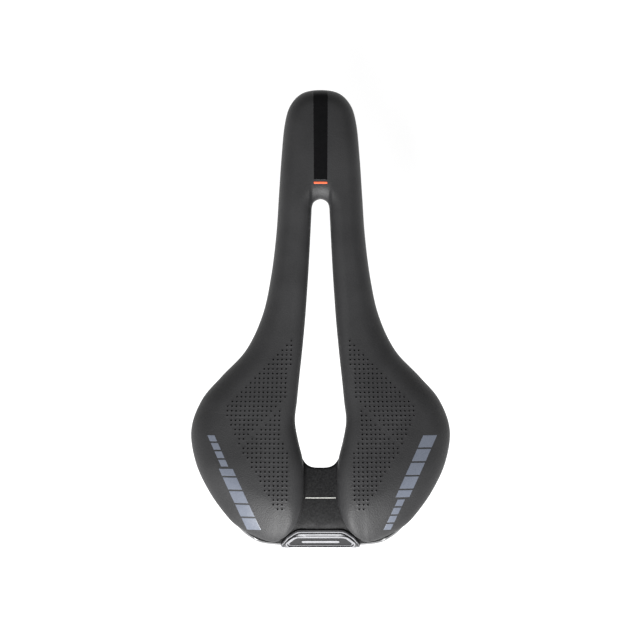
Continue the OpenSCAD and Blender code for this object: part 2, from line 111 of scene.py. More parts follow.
def ridge_z(y):
    return (RIDGE_MID + REAR_RISE * ease((RISE_FROM - y) / RISE_LENGTH)
            - NOSE_DIP * clamp01((y - DIP_FROM) / DIP_LENGTH) ** 2
            - DROP_RATE * np.maximum(0, DROP_Y - y) ** 2)


def base_z(x, y):
    crown = mix(NOSE_CROWN, WING_CROWN, ease((CROWN_FROM - y) / CROWN_LENGTH))
    return ridge_z(y) - x * x / 2 * crown


def past_tail(y):
    d = TAIL_Y - y
    return (d + np.sqrt(d * d + TAIL_BEND ** 2)) / 2


def tail_z(x, y):
    beside = 1 - ease((np.abs(x) - TAIL_HALF) / TAIL_FADE)
    return math.tan(TAIL_SLOPE) * (past_tail(y) - past_tail(TAIL_FROM)) * beside


def shell_top(x, y):
    return base_z(x, y) - PAD_T - np.maximum(0, tail_z(x, y))


def shell_under(x, y):
    return shell_top(x, y) - SHELL_T


def to_nose(y):
    return ease((y + 10) / 60)


def to_tail(y):
    return ease((-60 - y) / 38)


# The edges roll down over a width and to a depth that change along the seat.
def roll_width(y):
    return mix(mix(12, 8, to_nose(y)), 34, to_tail(y))


def roll_depth(y):
    return mix(mix(8, 7, to_nose(y)), 9, to_tail(y))


INNER_ROLL_DEPTH, INNER_WIDTH, INNER_WIDTH_REAR = 6.0, 7.5, 12.0


def inner_width(y):
    return mix(INNER_WIDTH, INNER_WIDTH_REAR, ease((-62 - y) / 30))


def roll(d, r):
    return 1 - np.sqrt(np.maximum(0, 1 - np.maximum(0, 1 - d / r) ** 2))


def flange(y):
    """Depth of the shell's skirt below its underside."""
    return mix(mix(3, 9, ease((y - 10) / 90)), 1, ease((-80 - y) / 20))


def tuck(y):
    """How far the cover's outer face leans in on its way down."""
    return mix(1, 2.5, ease((y - 10) / 90))


def line_distance(p, line):
    """Distance of each plan point to a polyline, some thousands of points at a time."""
    a, b = line[:-1], line[1:]
    ab = b - a
    out = np.empty(len(p))
    batch = 4000
    for s in range(0, len(p), batch):
        q = p[s:s + batch, None, :] - a[None]
        t = clamp01((q * ab).sum(2) / np.maximum((ab * ab).sum(1), 1e-12))
        out[s:s + batch] = np.linalg.norm(q - t[..., None] * ab, axis=2).min(1)
    return out


def edge_normals(line, edge):
    """Level directions into the seat from each point of its "inner" or "outer" edge."""
    t = np.empty_like(line)
    t[1:-1] = line[2:] - line[:-2]
    t[0], t[-1] = [1, 0], line[-1] - line[-2]
    t = unit(t)
    return np.stack([t[:, 1], -t[:, 0]], 1) if edge == "outer" else np.stack([-t[:, 1], t[:, 0]], 1)


IN = smooth_line(RIBS[:, :2], IN_GUIDE)
OUT = smooth_line(RIBS[:, 2:], OUT_GUIDE)
LAST = len(IN) - 1

# The wing's rear end closes in a small round, past the last rib.
END_MID = (IN[-1] + OUT[-1]) / 2
END_WAY = 0.9 * unit(np.array([OUT[-1][1] - IN[-1][1], IN[-1][0] - OUT[-1][0]]))
END_ANGLES = np.radians([18, 36, 54, 70, 82])


def rounded_end(line):
    return np.vstack([line, [END_MID + (line[-1] - END_MID) * math.cos(a) + END_WAY * math.sin(a)
                             for a in END_ANGLES]])


STATIONS_IN, STATIONS_OUT = rounded_end(IN), rounded_end(OUT)
OUT_LINE = np.vstack([STATIONS_OUT, END_MID + END_WAY])


# ---- the seat's surface ----

swell = {}                  # set by the cloth simulation, as a grid over the plan
LATTICE_LOW, LATTICE_HIGH, LATTICE_STEP = np.array([-3.0, -112.0]), (78.0, 148.0), 3.0
# The scoop that leads into the relief opening's front end.
SCOOP_DEPTH, SCOOP_Y, SCOOP_LENGTH, SCOOP_HALF, SCOOP_SIDE = 1.1, 92.4, 10.0, 4.3, 2.2
SWELL_FROM_EDGE = 8.0       # the padding swells fully this far from the edges


def swelling(p):
    """How far the simulated padding stands proud of the plain form, in mm, at plan points."""
    if not swell:
        return np.zeros(len(p))
    grid = swell["lift"]
    g = np.clip((p - LATTICE_LOW) / LATTICE_STEP, 0, np.array(grid.shape) - 1.001)
    i = g.astype(int)
    f = g - i
    a = mix(grid[i[:, 0], i[:, 1]], grid[i[:, 0] + 1, i[:, 1]], f[:, 0])
    b = mix(grid[i[:, 0], i[:, 1] + 1], grid[i[:, 0] + 1, i[:, 1] + 1], f[:, 0])
    return mix(a, b, f[:, 1])


def seat_z(p):
    """Height of the cover's surface over plan points of the right half."""
    x, y = p[:, 0], p[:, 1]
    d_out, d_in = line_distance(p, OUT_LINE), line_distance(p, STATIONS_IN)
    a = roll_depth(y) * roll(d_out, roll_width(y))
    b = INNER_ROLL_DEPTH * roll(d_in, inner_width(y))
    z = base_z(x, y) - np.cbrt(a ** 3 + b ** 3)
    scoop = ease((SCOOP_Y - y) / SCOOP_LENGTH) * (1 - ease((np.abs(x) - SCOOP_HALF) / SCOOP_SIDE))
    return z - SCOOP_DEPTH * scoop + swelling(p) * ease(np.minimum(d_out, d_in) / SWELL_FROM_EDGE)


def seat_normal(p, e=0.08):
    ex, ey = np.array([e, 0]), np.array([0, e])
    nx = (seat_z(p - ex) - seat_z(p + ex)) / (2 * e)
    ny = (seat_z(p - ey) - seat_z(p + ey)) / (2 * e)
    nx = np.where(p[:, 0] < 1e-6, 0, nx)
    return unit(np.stack([nx, ny, np.ones(len(p))], 1))


N_IN, N_MID, N_OUT = 9, 28, 14          # steps over the inner roll, the flat and the outer roll


def along_rib(length, y_out):
    """Fractions along a rib, close together where the edges roll down."""
    wi = min(float(inner_width(y_out)), 0.33 * length)
    wo = min(float(roll_width(y_out)), 0.45 * length)
    inner = wi * (1 - np.sin(np.radians(np.linspace(90, 0, N_IN + 1)[:-1])))
    middle = np.linspace(wi, length - wo, N_MID + 1)
    outer = length - wo * (1 - np.sin(np.radians(np.linspace(0, 90, N_OUT + 1)[1:])))
    return np.concatenate([inner, middle, outer]) / length


RIB_INDEX = np.concatenate([np.arange(LAST + 1) / STEPS,
                            LAST / STEPS + 0.01 * np.arange(1, len(END_ANGLES) + 1)])
ACROSS = np.array([along_rib(np.linalg.norm(b - a), b[1]) for a, b in zip(STATIONS_IN, STATIONS_OUT)])
NS, NK = ACROSS.shape
PLAN = STATIONS_IN[:, None, :] * (1 - ACROSS[..., None]) + STATIONS_OUT[:, None, :] * ACROSS[..., None]
IN_WAY = edge_normals(STATIONS_IN, "inner")
OUT_WAY = edge_normals(STATIONS_OUT, "outer")

# ---- perforations ----

# (innermost column, outermost column) of each row of the right wing, from the front. From
# row GAP_ROW to GAP_END a diagonal line of one hole a row is left out.
PERF_ROWS = [(0, 0), (0, 1), (0, 2), (0, 3), (0, 4), (0, 5), (1, 6), (1, 7), (1, 8), (1, 9),
             (1, 10), (1, 11), (1, 12), (2, 13), (3, 14), (2, 14), (2, 14), (2, 13), (2, 13),
             (2, 12), (2, 12), (2, 11), (1, 11), (1, 10), (0, 10), (0, 9), (0, 8), (0, 8),
             (0, 7), (0, 6), (0, 6), (0, 5), (0, 5), (0, 4), (0, 3), (1, 3), (1, 2)]
GAP_ROW, GAP_END, GAP_SHIFT = 15, 22, 12
HOLE_R = 0.5                # radius of a perforation
HOLE_SIDES = 10
HOLE_DEPTH = 0.62
# Rings down a hole, from its rim by the lip to the floor: share of the radius and depth.
HOLE_RINGS = [(1.28, 0.0), (1.1, -0.035), (0.95, 0.05), (0.86, 0.3), (0.8, HOLE_DEPTH)]
RIM_BANDS = 2               # how many bands between them, from the rim, look like the cover; the deeper bands and the floor are painted near-black as shade
HOLE_X, HOLE_Y = 15.95, 4.1             # the innermost column, and the first row
PITCH_X, PITCH_Y = 2.39, 2.55
# The columns lean outwards to the rear: distances behind the middle, and shifts.
LEAN_AT, LEAN = [-2, 27, 39, 51, 70, 89], [0, 1.06, 1.84, 2.2, 2.45, 2.7]


def hole_centres():
    centres = []
    for r, (first, last) in enumerate(PERF_ROWS):
        y = HOLE_Y - PITCH_Y * r
        lean = np.interp(-y, LEAN_AT, LEAN)
        centres += [(HOLE_X + PITCH_X * j + lean, y) for j in range(first, last + 1)
                    if not (GAP_ROW <= r <= GAP_END and j == r - GAP_SHIFT)]
    return np.array(centres)


# ---- mesh helpers ----

root = bpy.context.scene.collection


def clean(mesh, weld=0.0, outward=False):
    """Joins points that are closer than weld, and turns the faces outward."""
    bm = bmesh.new()
    bm.from_mesh(mesh)
    if weld:
        bmesh.ops.remove_doubles(bm, verts=bm.verts, dist=weld)
    if outward:
        bmesh.ops.recalc_face_normals(bm, faces=bm.faces)
    bm.to_mesh(mesh)
    bm.free()


def new_object(name, verts, faces, materials, indices=None, smooth_angle=38, wear=None,
               weld=0.0, mirror=False):
    """A mesh object from points in mm. mirror adds the left half, and wear is a value a point."""
    verts = np.asarray(verts, dtype=float)
    if mirror:
        n = len(verts)
        verts = np.vstack([verts, verts * [-1, 1, 1]])
        faces = list(faces) + [[v + n for v in reversed(f)] for f in faces]
        if indices is not None:
            indices = list(indices) * 2
        if wear is not None:
            wear = np.tile(wear, 2)
    mesh = bpy.data.meshes.new(name)
    mesh.from_pydata((verts * MM).tolist(), [], [list(map(int, f)) for f in faces])
    for m in materials:
        mesh.materials.append(m)
    if indices is not None:
        mesh.polygons.foreach_set("material_index", np.asarray(indices, dtype=np.int32))
    if wear is not None:
        mesh.attributes.new("edge", "FLOAT", "POINT").data.foreach_set("value", wear.astype(np.float32))
    if weld:
        clean(mesh, weld=weld * MM)
    mesh.validate(clean_customdata=False)
    mesh.polygons.foreach_set("use_smooth", np.ones(len(mesh.polygons), dtype=bool))
    mesh.set_sharp_from_angle(angle=math.radians(smooth_angle))
    mesh.update()
    obj = bpy.data.objects.new(name, mesh)
    root.objects.link(obj)
    return obj


def merged(objects):
    """Joins objects into the first."""
    with bpy.context.temp_override(active_object=objects[0], selected_editable_objects=objects):
        bpy.ops.object.join()
    return objects[0]


def grid_faces(n, m, closed_n=False, closed_m=False, flip=False):
    """Faces between n rings or rows of m points."""
    out = []
    for i in range(n if closed_n else n - 1):
        for k in range(m if closed_m else m - 1):
            a, b = (i + 1) % n, (k + 1) % m
            q = [i * m + k, i * m + b, a * m + b, a * m + k]
            out.append(q[::-1] if flip else q)
    return out


def end_caps(n, m):
    """Faces that close the first and last of n rings of m points."""
    return [list(range(m))[::-1], [(n - 1) * m + k for k in range(m)]]


def skin_of(rings, caps=2, **kind):
    """Points and faces of closed rings, with both ends capped, only the last or neither."""
    rings = np.array(rings)
    n, m = rings.shape[:2]
    return rings.reshape(-1, 3), grid_faces(n, m, closed_m=True, **kind) + end_caps(n, m)[2 - caps:]


def divided(points, step, least):
    """A line with more points put between its own, about a step apart."""
    out = []
    for a, b in zip(points[:-1], points[1:]):
        n = max(least, int(np.linalg.norm(b - a) / step))
        out += [mix(a, b, k / n) for k in range(n)]
    return out + [points[-1]]


# ---- the padding's swell ----

CLOTH_FRAMES = 20
MAX_RISE = 0.6              # the most that the padding may rise
RISE_SPREAD = 4.5           # how widely the rise is smoothed over the plan


def points_of(mesh):
    return np.array([v.co[:] for v in mesh.vertices])


def simulate_padding():
    """Lets the foam's skin settle as cloth under a little pressure, pinned along both edges, and
    keeps how far it rises as a grid over the plan."""
    p = PLAN[:LAST + 1:4, ::3]
    n, m = p.shape[:2]
    p = p.reshape(-1, 2)
    skin = new_object("padding_skin", np.column_stack([p, seat_z(p)]), grid_faces(n, m, flip=True), [],
                      weld=0.01, mirror=True)
    before = points_of(skin.data)
    bm = bmesh.new()
    bm.from_mesh(skin.data)
    border = [v.index for v in bm.verts if v.is_boundary]
    bm.free()
    skin.vertex_groups.new(name="pins").add(border, 1.0, "REPLACE")
    cloth = skin.modifiers.new("Cloth", "CLOTH")
    s = cloth.settings
    s.quality = 6
    s.mass = 0.25
    s.tension_stiffness = s.compression_stiffness = 25
    s.shear_stiffness = 12
    s.bending_stiffness = 0.6
    s.vertex_group_mass = "pins"
    s.use_pressure = True
    s.uniform_pressure_force = 2.2
    s.effector_weights.gravity = 0
    cloth.point_cache.frame_start, cloth.point_cache.frame_end = 1, CLOTH_FRAMES
    scene = bpy.context.scene
    for f in range(1, CLOTH_FRAMES + 1):
        scene.frame_set(f)
    after = points_of(skin.evaluated_get(bpy.context.evaluated_depsgraph_get()).data)
    bpy.data.objects.remove(skin)
    scene.frame_set(1)
    rise = np.clip((after[:, 2] - before[:, 2]) / MM, -MAX_RISE, MAX_RISE)
    right = before[:, 0] >= -1e-6
    points, rise = before[right, :2] / MM, rise[right]
    xs, ys = (np.arange(low, high, LATTICE_STEP) for low, high in zip(LATTICE_LOW, LATTICE_HIGH))
    g = np.stack(np.meshgrid(xs, ys, indexing="ij"), -1).reshape(-1, 1, 2)
    w = np.exp(-((g - points[None]) ** 2).sum(2) / (2 * RISE_SPREAD ** 2)) + 1e-12
    swell["lift"] = ((w * rise).sum(1) / w.sum(1)).reshape(len(xs), len(ys))


simulate_padding()

# ---- cover ----

def inside_any(points, edges):
    """Even-odd test of plan points against boundary edges (E x 2 x 2)."""
    (ax, ay), (bx, by) = edges[:, 0].T, edges[:, 1].T
    x, y = points[:, :1], points[:, 1:]
    crosses = (ay > y) != (by > y)
    rise = np.where(by == ay, 1e-12, by - ay)
    return (crosses & (x < ax + (y - ay) * (bx - ax) / rise)).sum(1) % 2 == 1


# Fractions of an edge's height, down its outside and back up its inside.
WALL_DOWN, WALL_UP = (0, 0.12, 0.3, 0.5, 0.7, 0.88, 1), (1, 0.7, 0.4, 0.15)
EDGE_WEAR = 1.8             # how far the worn tint reaches from the edges
END_LENGTH = 6.0            # the cover gets thinner where the wing is narrower than this
THICK = COVER_T * np.minimum(1, np.linalg.norm(STATIONS_OUT - STATIONS_IN, axis=1) / END_LENGTH)


def hem_profiles():
    """For each station, the outer and inner edge profiles from the seat's surface round the rim and
    back, as lists of (distance into the seat, height)."""
    skirted = 1 - ease((RIB_INDEX - (SKIRTED_RIBS - 0.5)) / 0.6)
    opening = 1 - ease((RIB_INDEX - (SHARED_RIBS - 0.7)) / 0.6)
    z_out, z_in = seat_z(STATIONS_OUT), seat_z(STATIONS_IN)
    top_out = shell_top(*STATIONS_OUT.T) + GAP
    low_out = mix(top_out, shell_under(*STATIONS_OUT.T) - flange(STATIONS_OUT[:, 1]), skirted)
    in_out = mix(0.2, tuck(STATIONS_OUT[:, 1]), skirted)
    low_in = mix(shell_top(*STATIONS_IN.T) + GAP, shell_under(*STATIONS_IN.T), opening)
    outer, inner = [], []
    for i in range(NS):
        h, t, zo, lo, c = skirted[i], in_out[i], z_out[i], low_out[i], THICK[i]
        up = max(0.3, 0.7 * float(flange(STATIONS_OUT[i, 1]))) * h + 0.05
        wall = [(t * f * f, mix(zo, lo, f)) for f in WALL_DOWN]
        back = [(c + t * f * f, mix(zo, lo, f)) for f in WALL_UP]
        far = t + c + (SHELL_T + GAP) * h
        fold = [(t + 0.25 * h, lo - 0.55 * h), (t + 0.9 * h, lo - 0.95 * h),
                (mix(t + c, far, 0.8), lo - 0.97 * h), (far + 0.72 * h, lo - 0.6 * h),
                (far + (c + GAP) * h + 0.01, lo + 0.1), (far + (c + GAP) * h + 0.01, lo + up),
                (far + GAP * h, lo + up), (far + GAP * h, lo + 0.02),
                (mix(t + c, far, 0.6), lo - 0.12 * h), (t + c + 0.02, lo - 0.02)]
        outer.append(wall + fold + back)
        h, zi, lo = opening[i], z_in[i], low_in[i]
        under = 5.0 * h + c + 0.05
        wall = [(0, mix(zi, lo, f)) for f in WALL_DOWN]
        back = [(c, mix(zi, lo, f)) for f in WALL_UP]
        fold = [(0.2 * h, lo - 0.6 * h), (0.8 * h, lo - 0.95 * h), (mix(1.2, under, h), lo - 0.95 * h),
                (mix(1.2, under, h), lo - 0.14 * h), (c + 0.4 * h, lo - 0.12 * h)]
        inner.append(wall + fold + back)
    return np.array(outer), np.array(inner)


def cover_rings():
    """One closed ring a station: the surface, the outer hem, the lining and the inner hem."""
    outer, inner = hem_profiles()
    surface = PLAN.reshape(-1, 2)
    top = np.column_stack([surface, seat_z(surface)]).reshape(NS, NK, 3)
    columns = slice(2, NK - 2, 3)
    n = len(range(NK)[columns])
    plan = PLAN[:, columns].reshape(-1, 2)
    lining = np.column_stack([plan, seat_z(plan)]) - seat_normal(plan) * np.repeat(THICK, n)[:, None]
    lining = lining.reshape(NS, n, 3)
    rings = []
    for i in range(NS):
        out = np.array([[*(STATIONS_OUT[i] + OUT_WAY[i] * u), z] for u, z in outer[i]])
        back = np.array([[*(STATIONS_IN[i] + IN_WAY[i] * u), z] for u, z in inner[i]])
        rings.append(np.vstack([top[i], out[1:], lining[i][::-1], back[1:][::-1]]))
    return np.array(rings)


def near_holes(centres):
    """Marks the cells of the surface that are near a perforation."""
    mid = (PLAN[:-1, :-1] + PLAN[1:, :-1] + PLAN[:-1, 1:] + PLAN[1:, 1:]) / 4
    half_diag = np.linalg.norm(PLAN[1:, 1:] - PLAN[:-1, :-1], axis=2) / 2
    marked = np.zeros(mid.shape[:2], dtype=bool)
    for c in centres:
        marked |= np.linalg.norm(mid - c, axis=2) < half_diag + HOLE_R * 1.9
    marked[:2] = marked[-3:] = False
    return marked


def hole_points(centres):
    """The rings of every hole, one depth after the other, and then the middles of the floors."""
    angles = np.arange(HOLE_SIDES) * 2 * math.pi / HOLE_SIDES
    circle = np.stack([np.cos(angles), np.sin(angles)], 1)
    rings = []
    for grow, down in HOLE_RINGS:
        plan = (centres[:, None] + circle[None] * HOLE_R * grow).reshape(-1, 2)
        rings.append(np.column_stack([plan, seat_z(plan)]) - seat_normal(plan) * down)
    floor = np.column_stack([centres, seat_z(centres)]) - seat_normal(centres) * HOLE_DEPTH * 1.02
    return np.vstack(rings + [floor])


def hole_sides(start):
    """Neighbouring pairs in the ring of a hole that begins at start."""
    return [(start + k, start + (k + 1) % HOLE_SIDES) for k in range(HOLE_SIDES)]


def patch_round_holes(verts, marked, centres, m, rim_starts):
    """Triangles that fill the marked cells of rings of m points, up to the rims of the holes."""
    uses = {}
    for i, k in zip(*np.nonzero(marked)):
        at = i * m + k
        q = [at, at + 1, at + m + 1, at + m]
        for pair in zip(q, q[1:] + q[:1]):
            key = (min(pair), max(pair))
            uses[key] = uses.get(key, 0) + 1
    border = [e for e, count in uses.items() if count == 1]
    border_ids = sorted({v for e in border for v in e})
    kept = [v for v in sorted({v for e in uses for v in e} - set(border_ids))
            if np.linalg.norm(centres - verts[v, :2], axis=1).min() > HOLE_R * 1.55]
    rims = [pair for start in rim_starts for pair in hole_sides(start)]
    local = border_ids + kept + [a for a, _ in rims]
    index = {v: n for n, v in enumerate(local)}
    constraints = [(index[a], index[b]) for a, b in border + rims]
    out = delaunay_2d_cdt([Vector(verts[v, :2]) for v in local], constraints, [], 0, 1e-7)
    points = np.array([v[:] for v in out[0]])
    real = [local[o[0]] if o else -1 for o in out[3]]
    triangles = np.array([t for t in out[2] if min(real[v] for v in t) >= 0])
    middle = points[triangles].mean(1)
    keep = inside_any(middle, np.array([[verts[a, :2], verts[b, :2]] for a, b in border]))
    # A triangle inside a rim has its middle nearer to the hole than the rim's flats.
    rim_flat = HOLE_R * HOLE_RINGS[0][0] * math.cos(math.pi / HOLE_SIDES)
    keep &= np.array([np.linalg.norm(centres - c, axis=1).min() for c in middle]) > rim_flat * 0.98
    return [[real[v] for v in t] for t in triangles[keep]]


def make_cover(materials):
    rings = cover_rings()
    m = rings.shape[1]
    centres = hole_centres()
    marked = near_holes(centres)
    count = len(centres) * HOLE_SIDES
    starts = [NS * m + c * HOLE_SIDES for c in range(len(centres))]
    verts = np.vstack([rings.reshape(-1, 3), hole_points(centres)])
    faces = [f for n, f in enumerate(grid_faces(NS, m, closed_m=True, flip=True))
             if n % m >= NK - 1 or not marked[n // m, n % m]]
    faces += patch_round_holes(verts, marked, centres, m, starts) + end_caps(NS, m)[1:]
    kinds = [0] * len(faces)
    # The deeper bands of each hole and its floor take the second material, a near-black painted shade.
    for s in range(len(HOLE_RINGS) - 1):
        sides = [pair for start in starts for pair in hole_sides(start + s * count)]
        faces += [[a, b, b + count, a + count] for a, b in sides]
        kinds += [0 if s < RIM_BANDS else 1] * count
    floors = starts[0] + len(HOLE_RINGS) * count
    for c, start in enumerate(starts):
        faces += [[a, b, floors + c] for a, b in hole_sides(start + (len(HOLE_RINGS) - 1) * count)]
    kinds += [1] * count
    plan = verts[:, :2]
    d = np.minimum(line_distance(plan, OUT_LINE), line_distance(plan, STATIONS_IN))
    return new_object("seat_cover", verts, faces, materials, kinds, smooth_angle=50,
                      wear=np.exp(-(d / EDGE_WEAR) ** 2), weld=1e-3, mirror=True)


# ---- padding and shell ----

def make_padding(material):
    depth = COVER_T + GAP
    rings = []
    for i in range(0, LAST + 1, 2):
        ends = np.array([STATIONS_IN[i], STATIONS_OUT[i]])
        foot_in, foot_out = ends + np.array([IN_WAY[i], OUT_WAY[i]]) * depth
        plan = PLAN[i, 1:NK - 1:2]
        top = np.column_stack([plan, seat_z(plan)]) - seat_normal(plan) * depth
        z_in, z_out = seat_z(ends)
        foot = np.array([mix(foot_in, foot_out, t) for t in np.linspace(0, 1, 12)])
        under = np.column_stack([foot, shell_top(*foot.T) + GAP])
        rings.append(np.vstack([[*foot_in, z_in], top, [*foot_out, z_out], under[::-1]]))
    return new_object("seat_padding", *skin_of(rings, caps=1, flip=True), [material], weld=1e-3,
                      mirror=True)


def shell_lines():
    """The shell's own inner and outer edges at fine stations."""
    inner, outer = RIBS[:, :2], RIBS[:, 2:]
    inset = COVER_T + GAP
    inner = inner + inset * edge_normals(inner, "inner")
    outer = outer + (inset + tuck(outer[:, 1:])) * edge_normals(outer, "outer")
    ribs = np.vstack([np.hstack([inner, outer])[:SHARED_RIBS], SHELL_REAR])
    return smooth_line(ribs[:, :2], SHELL_IN_GUIDE), smooth_line(ribs[:, 2:], SHELL_OUT_GUIDE)


SHELL_IN, SHELL_OUT = shell_lines()
LIP_R = 1.1                 # rounding of the shell's upper edges
LIP_FROM_Y = -90.0          # behind this the shell's lip shows from above
LIP_AT = np.radians([90, 60, 35, 15, 0])        # places round the rounding
N_TOP, N_UNDER = 44, 22     # points across the shell's top and its underside
# Places in a ring from the upper edge's rounding to the skirt's lower edge: the glossy lip, painted a
# lighter grey than the shell as a highlight.
UPPER = N_TOP - 2 + 2 * len(LIP_AT)
LIP_RING = range(UPPER - len(LIP_AT), UPPER + 6)


def make_shell():
    way = edge_normals(SHELL_OUT, "outer")
    way[-1] = [0, 1]
    rings = []
    for a, b, side in zip(SHELL_IN, SHELL_OUT, way):
        c = b + side * SHELL_T
        length = np.linalg.norm(b - a)
        near = min(LIP_R, 0.2 * length)
        start = near * (1 - np.sin(LIP_AT))
        middle = np.linspace(near, length - near, N_TOP)[1:-1]
        t = np.concatenate([start, middle, length - start[::-1]]) / length
        top = mix(a, b, t[:, None])
        z = shell_top(*top.T) - LIP_R * (roll(t * length, near) + roll((1 - t) * length, near))
        upper = np.column_stack([top, z])
        low = float(shell_under(*b) - flange(b[1]))
        rim = np.array([[*b, mix(z[-1], low, 0.4)], [*b, low + 0.5], [*(b + side * 0.15), low + 0.15],
                        [*(b + side * 0.5), low], [*(c - side * 0.5), low],
                        [*(c - side * 0.15), low + 0.15], [*c, low + 0.5]])
        length = np.linalg.norm(c - a)
        close = np.array([0, 0.35, 1.0])
        middle = np.linspace(2.2, length - 2.2, N_UNDER)
        t = np.concatenate([close, middle, length - close[::-1]]) / length
        below = mix(a, c, t[:, None])
        fillet = min(1.0, 0.4 * flange(b[1]))
        z = (shell_under(*below.T) - fillet * roll((1 - t) * length, 1.2)
             + 0.8 * roll(t * length, 1.0))
        rings.append(np.vstack([upper, rim, np.column_stack([below, z])[::-1]]))
    return skin_of(rings, caps=0, flip=True)


def lathe(profile, origin, axis, sides=48):
    """Points and faces of a closed ring profile of (radius, height) turned round an axis."""
    axis = unit(np.asarray(axis, dtype=float))
    side = unit(np.cross(axis, [0.3, 1, 0.1]))
    up = np.cross(axis, side)
    rings = []
    for a in np.arange(sides) * 2 * math.pi / sides:
        out = side * math.cos(a) + up * math.sin(a)
        rings.append([origin + out * r + axis * h for r, h in profile])
    return skin_of(rings, caps=0, closed_n=True)


def joined(parts):
    """Several (points, faces) as one."""
    verts, faces, n = [], [], 0
    for v, f in parts:
        verts.append(v)
        faces += [[a + n for a in q] for q in f]
        n += len(v)
    return np.vstack(verts), faces


def under_frame(x, y):
    """Where a line square to the shell's underside starts, and its downward direction."""
    e = 2.0
    sx = (shell_under(x + e, y) - shell_under(x - e, y)) / (2 * e)
    sy = (shell_under(x, y + e) - shell_under(x, y - e)) / (2 * e)
    return np.array([x, y, float(shell_under(x, y))]), -unit(np.array([-sx, -sy, 1.0]))


BOSS_H, BOSS_R, INSERT_R = 4.0, 5.5, 2.9
NOSE_BOSS_H, NOSE_INSERT_R = 7.0, 3.6
NOSE_LOOP_Y = 112.0
SOCKET = (33.0, -84.0)
SCREW_REACH = 12.0


def boss(origin, down, height, bore):
    r = BOSS_R
    return lathe([(bore, height), (bore, -1.2), (r + 1.4, -1.2), (r + 1.4, 0.05), (r + 0.6, 0.3),
                  (r + 0.15, 0.9), (r, 1.8), (r, height - 0.3), (r - 0.3, height),
                  (bore + 0.3, height)], origin, down)


def socket_screw_spots():
    origin, down = under_frame(*SOCKET)
    across = unit(np.cross(down, [0, -1, 0]))
    return [(origin + across * s * SCREW_REACH, down) for s in (-1, 1)]


def rib(points, height, thick=1.5):
    """A stiffening rib that follows the shell's underside along plan points."""
    line = np.array(divided(np.asarray(points, dtype=float), 1.5, 2))
    t = unit(np.gradient(line, axis=0))
    side = np.stack([-t[:, 1], t[:, 0]], 1)
    s = np.concatenate([[0], np.cumsum(np.linalg.norm(np.diff(line, axis=0), axis=1))])
    h = height * np.minimum(1, 0.25 + 0.75 * ease(np.minimum(s, s[-1] - s) / 4))
    rings = []
    for p, w, hh in zip(line, side, h):
        z = float(shell_under(*p))
        rings.append([[*(p + w * u * thick / 2), z + v] for u, v in
                      ((1.5, 0.4), (1.5, -0.05), (1.0, -0.5), (0.75, -hh + 0.2), (0.45, -hh),
                       (-0.45, -hh), (-0.75, -hh + 0.2), (-1.0, -0.5), (-1.5, -0.05), (-1.5, 0.4))])
    return skin_of(rings)


# Ribs under the shell's right half, as plan points and a height.
SHELL_RIBS = [([(6.5, -70), (7, -80), (9, -92), (14, -97)], 3.0),
              ([(3, -76), (12, -75), (21, -74)], 2.6), ([(3, -91), (20, -92)], 2.6),
              ([(22, -72), (34, -62), (50, -50)], 3.0), ([(30, -74), (44, -66), (58, -62)], 3.0),
              ([(16.5, -60), (21, -45), (20.5, -28), (18, -10), (16, 8), (14.5, 26)], 3.0),
              ([(24, -60), (40, -38), (52, -34)], 2.6), ([(21, -34), (36, -22), (44, -20)], 2.6),
              ([(19, -18), (28, -8), (34, -4)], 2.6), ([(3, 94), (13, 94)], 4.0)]
MIDDLE_RIB = ([(0, -72), (0, -97)], 3.0)


def tube(path, radius, sides=28):
    path = np.asarray(path, dtype=float)
    t = unit(np.gradient(path, axis=0))
    side = unit(np.cross(t[0], [0.2, 0.1, 1]))
    rings = []
    for p, d in zip(path, t):
        side = unit(side - d * np.dot(side, d))
        up = np.cross(d, side)
        rings.append([p + radius * (side * math.cos(a) + up * math.sin(a))
                      for a in np.arange(sides) * 2 * math.pi / sides])
    return skin_of(rings)


def rounded_path(corners, radii, step=math.radians(4)):
    """A path through corner points, with an arc of the given radius at each inner corner."""
    out = [corners[0]]
    for before, c, after, r in zip(corners[:-2], corners[1:-1], corners[2:], radii):
        way, leave = unit(c - before), unit(after - c)
        turn = math.acos(float(np.clip(way @ leave, -1, 1)))
        side = unit(leave - (leave @ way) * way)
        centre = c - way * r * math.tan(turn / 2) + side * r
        n = max(3, int(turn / step))
        out += [centre - side * r * math.cos(a) + way * r * math.sin(a)
                for a in np.linspace(0, turn, n + 1)]
    return out + [corners[-1]]


RAIL_R, HALF_GAUGE, STRAIGHT, BEND_R = 3.5, 22.0, 75.0, 25.0
LOOP_R, LOOP_Z, KNEE_R = 9.5, 24.5, 20.0
REAR_END = np.array([33.0, -94.0, 23.3])


def corner_past(end, target, side):
    """The corner of a bend lies past the end of the straight, found in two passes as in the CAD."""
    way, corner = np.array([0.0, side, 0.0]), end
    for _ in range(2):
        turn = math.acos(float(way @ unit(target - corner)))
        corner = end + way * BEND_R * math.tan(turn / 2)
    return corner


def rail_path():
    knee = np.array([LOOP_R, 103.0, LOOP_Z])
    front = np.array([HALF_GAUGE, STRAIGHT / 2, 0.0])
    rear = np.array([HALF_GAUGE, -STRAIGHT / 2, 0.0])
    corners = [np.array([LOOP_R, NOSE_LOOP_Y, LOOP_Z]), knee, corner_past(front, knee, 1),
               corner_past(rear, REAR_END, -1), REAR_END]
    right = rounded_path(corners, [KNEE_R, BEND_R, BEND_R])
    dense = divided(right, 4.0, 1)
    loop = [np.array([LOOP_R * math.cos(a), NOSE_LOOP_Y + LOOP_R * math.sin(a), LOOP_Z])
            for a in np.linspace(0, math.pi, 41)[1:-1]]
    left = [p * [-1, 1, 1] for p in dense]
    return dense[::-1] + loop + left


def plan_grid(xs_of_y, ys):
    """Rows of plan points: at each y, the xs that xs_of_y gives."""
    return np.array([[(x, y) for x in xs_of_y(y)] for y in ys])


